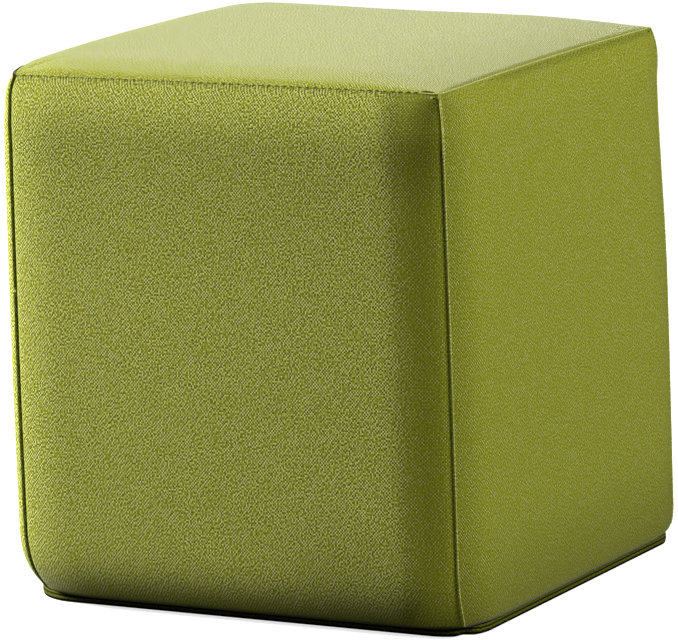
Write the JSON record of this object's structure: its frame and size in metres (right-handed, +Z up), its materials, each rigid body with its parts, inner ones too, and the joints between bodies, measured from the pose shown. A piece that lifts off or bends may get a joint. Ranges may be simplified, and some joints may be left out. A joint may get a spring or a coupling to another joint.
{
  "type": "cube pouf stool",
  "caption": "Soft upholstered seat cube with rounded corner seams, a stitched seat panel and a low inset covered base",
  "frame": {"origin": "on the floor under the middle of the body", "axes": "+Z up, the front panel faces -Y and the right panel faces +X"},
  "size_m": [0.4123, 0.4115, 0.433],
  "materials": {
    "cover_cloth": "coarse plain weave with a slight melange",
    "base_cloth": "the same weave in the shade of the body",
    "underlay": "matt black non-woven"
  },
  "bodies": {
    "root": {"stuffed_cube": "cover_cloth", "base_welt": "base_cloth", "base_band": "base_cloth", "bottom_cloth": "underlay"}
  },
  "joints": []
}
